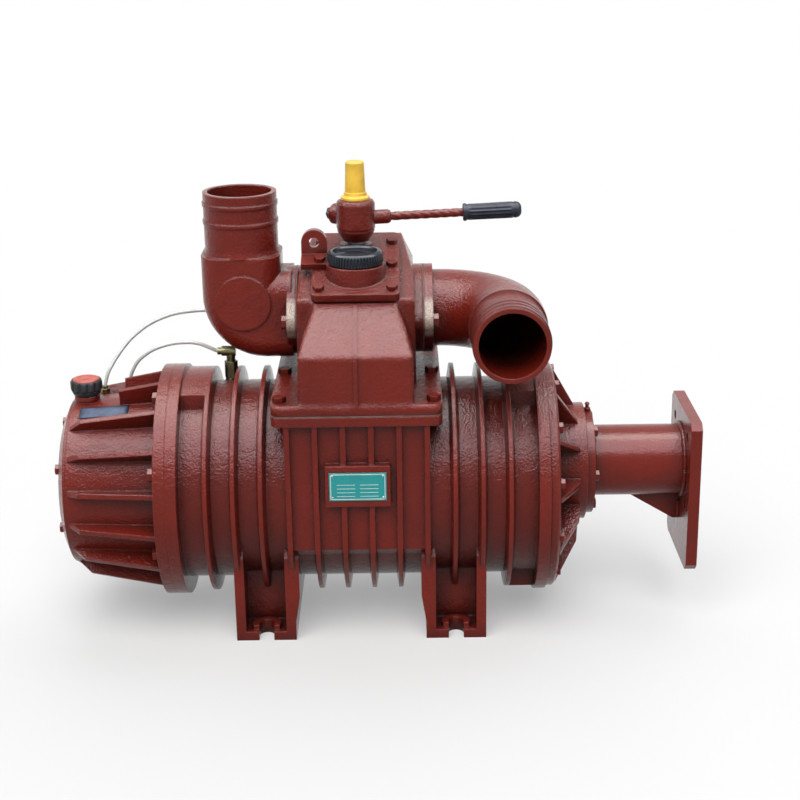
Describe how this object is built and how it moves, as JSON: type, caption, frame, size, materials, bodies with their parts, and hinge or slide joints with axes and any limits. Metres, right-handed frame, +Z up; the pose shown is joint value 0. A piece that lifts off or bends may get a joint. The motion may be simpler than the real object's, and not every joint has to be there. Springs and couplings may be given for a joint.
{
  "type": "rotary vane vacuum pump",
  "caption": "Finned rotary vane vacuum pump on cast feet, with a changeover lever manifold, upright and side hose elbows, a lubricator sump and a hydraulic motor bracket.",
  "frame": {"origin": "centre of the foot-slot pattern, on the plane the feet stand on, under the casing axis", "axes": "+X along the shaft towards the drive end, +Y to the back, +Z up along the upright hose spigot"},
  "size_m": [0.8585, 0.316, 0.6133],
  "materials": {
    "red_paint": "glossy red-brown enamel over rough casting",
    "red_paint_fasteners": "glossy red-brown enamel",
    "rubber_gasket": "fibre gasket",
    "teal_plate": "printed aluminium plate, bare of text",
    "black_rubber": "moulded grip",
    "black_plastic": "moulded cap",
    "black_matte": "moulded plug",
    "red_plastic": "moulded top",
    "yellow_plastic": "moulded cap",
    "nylon_tube": "translucent nylon tube",
    "brass_fitting": "yellow zinc and brass",
    "steel": "machined",
    "cast_rotor": "machined casting",
    "vane_composite": "fibre laminate"
  },
  "bodies": {
    "pump_housing": {"cylinder_casing": "red_paint", "data_plate": "teal_plate", "manifold_gasket": "rubber_gasket", "manifold_body": "red_paint", "manifold_bolts": "red_paint_fasteners", "top_cover": "red_paint", "top_cover_bolts": "red_paint_fasteners", "lifting_lug": "red_paint", "upright_elbow": "red_paint", "upright_elbow_gasket": "rubber_gasket", "upright_elbow_bolts": "red_paint_fasteners", "side_elbow": "red_paint", "side_elbow_gasket": "rubber_gasket", "side_elbow_bolts": "red_paint_fasteners", "sump_housing": "red_paint", "sump_flange_bolts": "red_paint_fasteners", "sump_end_cover": "red_paint", "sump_end_bolts": "red_paint_fasteners", "bearing_plate": "red_paint", "left_bearing_outer": "steel", "end_cover": "red_paint", "end_cover_bolts": "red_paint_fasteners", "right_bearing_outer": "steel", "drive_flange": "red_paint", "drive_flange_bolts": "red_paint_fasteners", "shaft_seal": "black_rubber", "drive_tube": "red_paint", "motor_plate": "red_paint", "plate_gusset": "red_paint", "grease_nipple": "red_paint_fasteners", "oil_pump_body": "cast_rotor", "idler_pin": "steel", "oil_line_front": "nylon_tube", "oil_line_rear": "nylon_tube", "oil_line_fittings": "brass_fitting"},
    "rotor": {"rotor_drum": "cast_rotor", "rotor_vanes": "vane_composite", "rotor_shaft": "steel", "left_bearing_inner": "steel", "right_bearing_inner": "steel", "oil_pump_drive_gear": "steel", "coupling_sleeve": "steel"},
    "oil_pump_idler": {"oil_pump_driven_gear": "steel"},
    "changeover_lever": {"valve_plug": "cast_rotor", "lever_head": "red_paint", "lever_rod": "red_paint", "lever_grip": "black_rubber", "lever_clamp_bolt": "black_matte"},
    "dust_cap": {"dust_cap": "yellow_plastic"},
    "filler_cap": {"filler_cap": "black_plastic"},
    "sump_plug": {"sump_plug": "black_matte", "sump_plug_top": "red_plastic"}
  },
  "joints": [
    {"name": "rotor_spin", "type": "hinge", "parent": "pump_housing", "child": "rotor", "pos_m": [0, 0, 0.203], "axis": [1, 0, 0], "continuous": true},
    {"name": "oil_pump_idler_spin", "type": "hinge", "parent": "pump_housing", "child": "oil_pump_idler", "pos_m": [-0.29, 0, 0.154], "axis": [1, 0, 0], "continuous": true},
    {"name": "changeover_swing", "type": "hinge", "parent": "pump_housing", "child": "changeover_lever", "pos_m": [0, 0.042, 0.412], "axis": [0, 0, 1], "range_deg": [-90, 0]},
    {"name": "dust_cap_lift", "type": "slide", "parent": "changeover_lever", "child": "dust_cap", "axis": [0, 0, 1], "range_m": [0, 0.06]},
    {"name": "filler_cap_lift", "type": "slide", "parent": "pump_housing", "child": "filler_cap", "axis": [0, 0, 1], "range_m": [0, 0.012]},
    {"name": "sump_plug_lift", "type": "slide", "parent": "pump_housing", "child": "sump_plug", "axis": [0, 0, 1], "range_m": [0, 0.06]}
  ],
  "couplings": [
    {"joint": "oil_pump_idler_spin", "follows": "rotor_spin", "ratio": -1}
  ]
}
